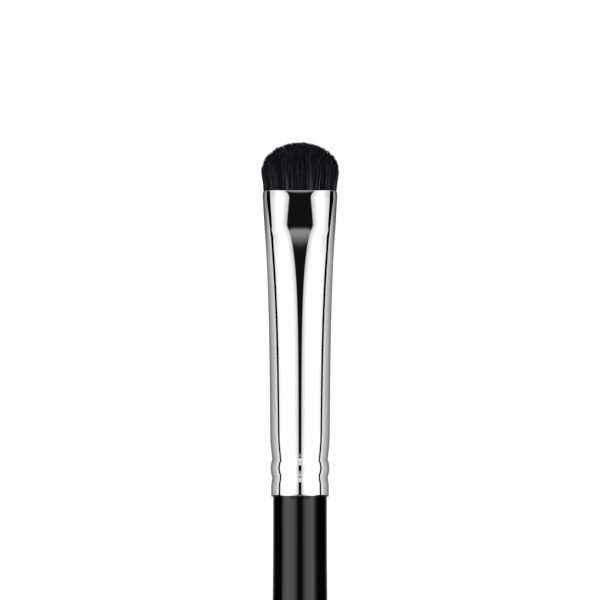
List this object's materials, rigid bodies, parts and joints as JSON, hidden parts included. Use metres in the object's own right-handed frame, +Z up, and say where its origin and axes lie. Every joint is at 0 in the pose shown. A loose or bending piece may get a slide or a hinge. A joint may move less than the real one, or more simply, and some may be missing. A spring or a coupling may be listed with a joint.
{
  "type": "eyeshadow brush",
  "caption": "Slim eyeshadow brush: a short domed tuft of black filaments in a plated ferrule, pressed flat at the mouth and crimped onto a turned black handle.",
  "frame": {"origin": "on the table, under the middle of the brush as it lies on its back", "axes": "+Y along the brush towards the tuft, +X across its flat faces, +Z up from the table"},
  "size_m": [0.0106, 0.17, 0.008],
  "materials": {
    "lacquered_wood": "gloss",
    "glue": "gloss",
    "plated_tube": "polished",
    "resin": "gloss",
    "thread": "matte",
    "filaments": "matte"
  },
  "bodies": {
    "root": {"handle": "lacquered_wood", "tenon_glue": "glue", "ferrule": "plated_tube", "root_epoxy": "resin", "binding_thread": "thread", "tuft": "filaments"}
  },
  "joints": []
}
